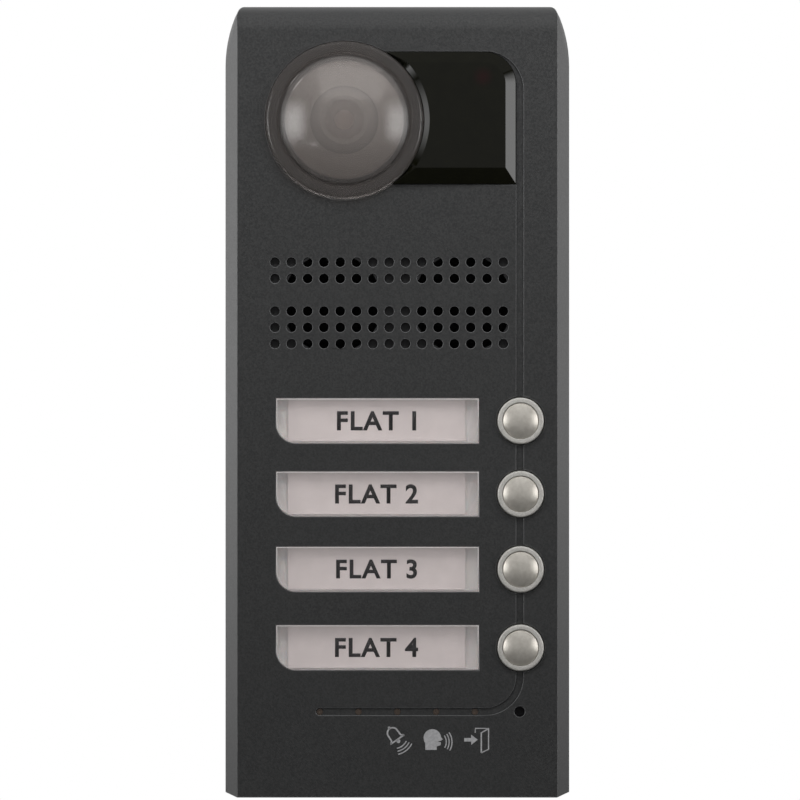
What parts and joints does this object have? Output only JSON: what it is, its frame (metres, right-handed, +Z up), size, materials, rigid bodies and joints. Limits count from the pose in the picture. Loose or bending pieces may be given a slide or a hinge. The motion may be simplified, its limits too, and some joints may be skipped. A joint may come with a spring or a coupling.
{
  "type": "door intercom panel",
  "caption": "Surface-mounted door intercom panel with domed camera, badge reader, speaker grille, lit name labels and sprung metal call buttons.",
  "frame": {"origin": "on the wall plane, at the centre of the four wall fixing holes, which is the panel's centre", "axes": "+X to the right as a caller sees the panel, +Y into the wall, +Z up"},
  "size_m": [0.11, 0.0345, 0.25],
  "materials": {
    "cover_paint": "fine textured anthracite powder coat",
    "smoked_clear": "polished smoked polycarbonate",
    "reader_gloss": "polished black",
    "button_nickel": "satin nickel plate",
    "label_clear": "polished clear polycarbonate",
    "card_paper": "matt card with a printed flat number",
    "baffle_grey": "moulded grey",
    "shroud_grey": "matt silver grey",
    "frame_black": "moulded black",
    "lens_glass": "coated glass",
    "lens_black": "black anodised",
    "diffuser_white": "frosted white",
    "light_guide_clear": "clear acrylic",
    "lamp_body": "moulded lamp",
    "seal_rubber": "matt black",
    "foam_black": "closed-cell foam",
    "plate_zinc": "zinc plated",
    "screw_steel": "stainless",
    "spring_steel": "drawn wire",
    "board_green": "solder mask",
    "chip_black": "moulded epoxy",
    "relay_blue": "moulded case",
    "terminal_green": "moulded nylon",
    "speaker_steel": "pressed and blackened steel",
    "magnet_grey": "plated ferrite",
    "cone_paper": "black paper pulp"
  },
  "bodies": {
    "housing": {"back_plate": "plate_zinc", "board_chips": "chip_black", "board_screws": "screw_steel", "button_gaskets": "seal_rubber", "button_guide": "frame_black", "button_ring_1": "button_nickel", "button_ring_2": "button_nickel", "button_ring_3": "button_nickel", "button_ring_4": "button_nickel", "button_spring_1": "spring_steel", "button_spring_2": "spring_steel", "button_spring_3": "spring_steel", "button_spring_4": "spring_steel", "cable_grommet": "seal_rubber", "camera_dome": "smoked_clear", "camera_holder": "frame_black", "camera_screws": "screw_steel", "camera_shroud": "shroud_grey", "cover_screws": "screw_steel", "dome_gasket": "seal_rubber", "dome_retaining_ring": "frame_black", "door_relay": "relay_blue", "front_cover": "cover_paint", "label_diffusers": "diffuser_white", "label_lamps": "lamp_body", "label_light_box": "diffuser_white", "label_window_1": "label_clear", "label_window_2": "label_clear", "label_window_3": "label_clear", "label_window_4": "label_clear", "main_board": "board_green", "microphone_boot": "seal_rubber", "microphone_capsule": "magnet_grey", "name_card_1": "card_paper", "name_card_2": "card_paper", "name_card_3": "card_paper", "name_card_4": "card_paper", "push_switches": "chip_black", "reader_antenna": "board_green", "reader_window": "reader_gloss", "speaker_baffle": "baffle_grey", "speaker_cone_left": "cone_paper", "speaker_cone_right": "cone_paper", "speaker_frame_left": "speaker_steel", "speaker_frame_right": "speaker_steel", "speaker_magnet_left": "magnet_grey", "speaker_magnet_right": "magnet_grey", "status_lamps": "lamp_body", "status_light_guide": "light_guide_clear", "terminal_block": "terminal_green", "wall_gasket": "foam_black"},
    "button_1": {"button_cap_1": "button_nickel"},
    "button_2": {"button_cap_2": "button_nickel"},
    "button_3": {"button_cap_3": "button_nickel"},
    "button_4": {"button_cap_4": "button_nickel"},
    "camera_pan": {"camera_yoke": "frame_black"},
    "camera_tilt": {"camera_eye": "shroud_grey", "camera_lens_barrel": "lens_black", "camera_lens": "lens_glass", "camera_board": "board_green"}
  },
  "joints": [
    {"name": "call_button_1", "type": "slide", "parent": "housing", "child": "button_1", "axis": [0, 1, 0], "range_m": [0, 0.0015], "stiffness_N_per_m": 500, "springref_m": -0.002, "deforming": ["button_spring_1"]},
    {"name": "call_button_2", "type": "slide", "parent": "housing", "child": "button_2", "axis": [0, 1, 0], "range_m": [0, 0.0015], "stiffness_N_per_m": 500, "springref_m": -0.002, "deforming": ["button_spring_2"]},
    {"name": "call_button_3", "type": "slide", "parent": "housing", "child": "button_3", "axis": [0, 1, 0], "range_m": [0, 0.0015], "stiffness_N_per_m": 500, "springref_m": -0.002, "deforming": ["button_spring_3"]},
    {"name": "call_button_4", "type": "slide", "parent": "housing", "child": "button_4", "axis": [0, 1, 0], "range_m": [0, 0.0015], "stiffness_N_per_m": 500, "springref_m": -0.002, "deforming": ["button_spring_4"]},
    {"name": "camera_pan", "type": "hinge", "parent": "housing", "child": "camera_pan", "pos_m": [-0.0167, -0.018, 0.08875], "axis": [0, 0, 1], "range_deg": [-10, 10]},
    {"name": "camera_tilt", "type": "hinge", "parent": "camera_pan", "child": "camera_tilt", "pos_m": [-0.0167, -0.018, 0.08875], "axis": [1, 0, 0], "range_deg": [-10, 10]}
  ]
}
